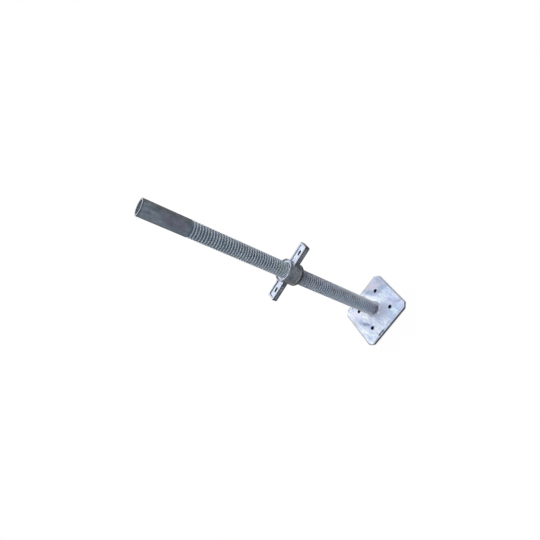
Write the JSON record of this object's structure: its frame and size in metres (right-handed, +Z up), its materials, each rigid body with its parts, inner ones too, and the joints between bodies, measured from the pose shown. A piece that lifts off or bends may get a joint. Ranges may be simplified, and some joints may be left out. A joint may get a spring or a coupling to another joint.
{
  "type": "scaffold base jack",
  "caption": "Screw base jack for scaffolding: a threaded tube welded upright on a square plate, with a cast wing nut whose cup carries the scaffold standard.",
  "frame": {"origin": "centre of the base plate's underside, on the ground", "axes": "+Z up along the spindle, +X and +Y square to the plate's sides"},
  "size_m": [0.153, 0.15, 0.68],
  "materials": {
    "tube_zinc": "hot-dip galvanised tube, dull grey zinc with fine spangle",
    "plate_zinc": "hot-dip galvanised plate, bright pale zinc with grey smudges",
    "weld_zinc": "rippled weld under zinc",
    "cast_zinc": "galvanised casting, slightly rough"
  },
  "bodies": {
    "jack": {"spindle": "tube_zinc", "base_plate": "plate_zinc", "weld_bead": "weld_zinc"},
    "nut": {"wing_nut": "cast_zinc"}
  },
  "joints": [
    {"name": "nut_travel", "type": "slide", "parent": "jack", "child": "nut", "axis": [0, 0, 1], "range_m": [-0.2705, 0.254]}
  ]
}
